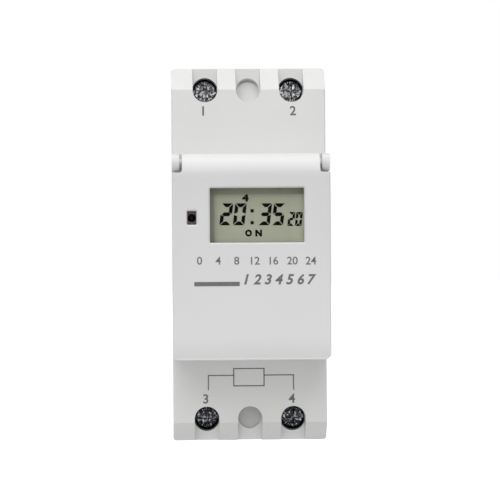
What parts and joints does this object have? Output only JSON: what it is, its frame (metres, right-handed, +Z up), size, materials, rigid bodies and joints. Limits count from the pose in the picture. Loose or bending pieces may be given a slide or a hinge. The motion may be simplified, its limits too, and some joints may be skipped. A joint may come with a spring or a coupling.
{
  "type": "din rail timer switch",
  "caption": "Narrow white time switch for a mounting rail: a hinged flap with a display window, buttons under it, and screw clamps at both ends.",
  "frame": {"origin": "centre of the face that rests on the rail", "axes": "+X along the rail, +Z up, -Y towards the front"},
  "size_m": [0.036, 0.0655, 0.0907],
  "materials": {
    "housing": "fine spark texture",
    "flap": "fine spark texture",
    "lens": "clear moulded window",
    "lcd": "grey green reflective display",
    "strip": "layered silicone",
    "board": "green lacquered laminate",
    "led": "deep red lens",
    "button": "grey key",
    "switch": "black key switch",
    "plunger": "ivory plunger",
    "battery": "nickel cell can",
    "chip": "black moulded package",
    "crystal": "pressed can",
    "ribbon": "grey flat cable",
    "relay": "black relay case",
    "film": "yellow box",
    "can": "dark blue sleeve",
    "varistor": "blue lacquer",
    "bridge": "black moulded package",
    "screw": "zinc plated, worn bright",
    "cage": "zinc plated",
    "busbar": "bare brass",
    "base": "fine spark texture",
    "latch": "smooth acetal",
    "spring": "spring wire"
  },
  "bodies": {
    "case": {"front_housing": "housing", "rear_base": "base", "display_lens": "lens", "lcd_glass": "lcd", "contact_strip_upper": "strip", "contact_strip_lower": "strip", "display_board": "board", "indicator_led": "led", "backup_battery": "battery", "controller_chip": "chip", "quartz_crystal": "crystal", "link_ribbon": "ribbon", "power_board": "board", "relay": "relay", "film_capacitor": "film", "can_capacitor": "can", "varistor": "varistor", "bridge_rectifier": "bridge", "power_board_screws": "screw", "display_board_screws": "screw", "latch_spring": "spring", "key_switch_clock": "switch", "key_switch_day": "switch", "key_switch_hour": "switch", "key_switch_minute": "switch", "key_switch_manual": "switch", "key_switch_reset": "switch", "busbar_supply_left": "busbar", "busbar_supply_right": "busbar", "busbar_load_left": "busbar", "busbar_load_right": "busbar"},
    "flap": {"flap": "flap"},
    "rail_latch": {"rail_latch": "latch"},
    "button_clock": {"button_clock": "button", "key_plunger_clock": "plunger"},
    "button_day": {"button_day": "button", "key_plunger_day": "plunger"},
    "button_hour": {"button_hour": "button", "key_plunger_hour": "plunger"},
    "button_minute": {"button_minute": "button", "key_plunger_minute": "plunger"},
    "button_manual": {"button_manual": "button", "key_plunger_manual": "plunger"},
    "button_reset": {"button_reset": "button", "key_plunger_reset": "plunger"},
    "screw_supply_left": {"terminal_screw_supply_left": "screw"},
    "cage_supply_left": {"terminal_cage_supply_left": "cage"},
    "screw_supply_right": {"terminal_screw_supply_right": "screw"},
    "cage_supply_right": {"terminal_cage_supply_right": "cage"},
    "screw_load_left": {"terminal_screw_load_left": "screw"},
    "cage_load_left": {"terminal_cage_load_left": "cage"},
    "screw_load_right": {"terminal_screw_load_right": "screw"},
    "cage_load_right": {"terminal_cage_load_right": "cage"}
  },
  "joints": [
    {"name": "flap_hinge", "type": "hinge", "parent": "case", "child": "flap", "pos_m": [0, -0.0565, 0.02095], "axis": [-1, 0, 0], "range_deg": [0, 115]},
    {"name": "rail_latch_slide", "type": "slide", "parent": "case", "child": "rail_latch", "axis": [0, 0, -1], "range_m": [0, 0.004], "stiffness_N_per_m": 1500, "springref_m": -0.003, "deforming": ["latch_spring"]},
    {"name": "button_clock_press", "type": "slide", "parent": "case", "child": "button_clock", "axis": [0, 1, 0], "range_m": [0, 0.0005], "stiffness_N_per_m": 300, "springref_m": -0.0005},
    {"name": "button_day_press", "type": "slide", "parent": "case", "child": "button_day", "axis": [0, 1, 0], "range_m": [0, 0.0005], "stiffness_N_per_m": 300, "springref_m": -0.0005},
    {"name": "button_hour_press", "type": "slide", "parent": "case", "child": "button_hour", "axis": [0, 1, 0], "range_m": [0, 0.0005], "stiffness_N_per_m": 300, "springref_m": -0.0005},
    {"name": "button_minute_press", "type": "slide", "parent": "case", "child": "button_minute", "axis": [0, 1, 0], "range_m": [0, 0.0005], "stiffness_N_per_m": 300, "springref_m": -0.0005},
    {"name": "button_manual_press", "type": "slide", "parent": "case", "child": "button_manual", "axis": [0, 1, 0], "range_m": [0, 0.0005], "stiffness_N_per_m": 300, "springref_m": -0.0005},
    {"name": "button_reset_press", "type": "slide", "parent": "case", "child": "button_reset", "axis": [0, 1, 0], "range_m": [0, 0.0005], "stiffness_N_per_m": 300, "springref_m": -0.0005},
    {"name": "screw_supply_left_turn", "type": "hinge", "parent": "case", "child": "screw_supply_left", "pos_m": [-0.0101, -0.0376, 0.0384], "axis": [0, 1, 0], "range_deg": [0, 1800]},
    {"name": "cage_supply_left_rise", "type": "slide", "parent": "case", "child": "cage_supply_left", "axis": [0, -1, 0], "range_m": [0, 0.0035]},
    {"name": "screw_supply_right_turn", "type": "hinge", "parent": "case", "child": "screw_supply_right", "pos_m": [0.0101, -0.0376, 0.0384], "axis": [0, 1, 0], "range_deg": [0, 1800]},
    {"name": "cage_supply_right_rise", "type": "slide", "parent": "case", "child": "cage_supply_right", "axis": [0, -1, 0], "range_m": [0, 0.0035]},
    {"name": "screw_load_left_turn", "type": "hinge", "parent": "case", "child": "screw_load_left", "pos_m": [-0.0101, -0.0376, -0.0384], "axis": [0, 1, 0], "range_deg": [0, 1800]},
    {"name": "cage_load_left_rise", "type": "slide", "parent": "case", "child": "cage_load_left", "axis": [0, -1, 0], "range_m": [0, 0.0035]},
    {"name": "screw_load_right_turn", "type": "hinge", "parent": "case", "child": "screw_load_right", "pos_m": [0.0101, -0.0376, -0.0384], "axis": [0, 1, 0], "range_deg": [0, 1800]},
    {"name": "cage_load_right_rise", "type": "slide", "parent": "case", "child": "cage_load_right", "axis": [0, -1, 0], "range_m": [0, 0.0035]}
  ],
  "couplings": [
    {"joint": "screw_supply_left_turn", "follows": "cage_supply_left_rise", "rad_per_m": 8976},
    {"joint": "screw_supply_right_turn", "follows": "cage_supply_right_rise", "rad_per_m": 8976},
    {"joint": "screw_load_left_turn", "follows": "cage_load_left_rise", "rad_per_m": 8976},
    {"joint": "screw_load_right_turn", "follows": "cage_load_right_rise", "rad_per_m": 8976}
  ]
}
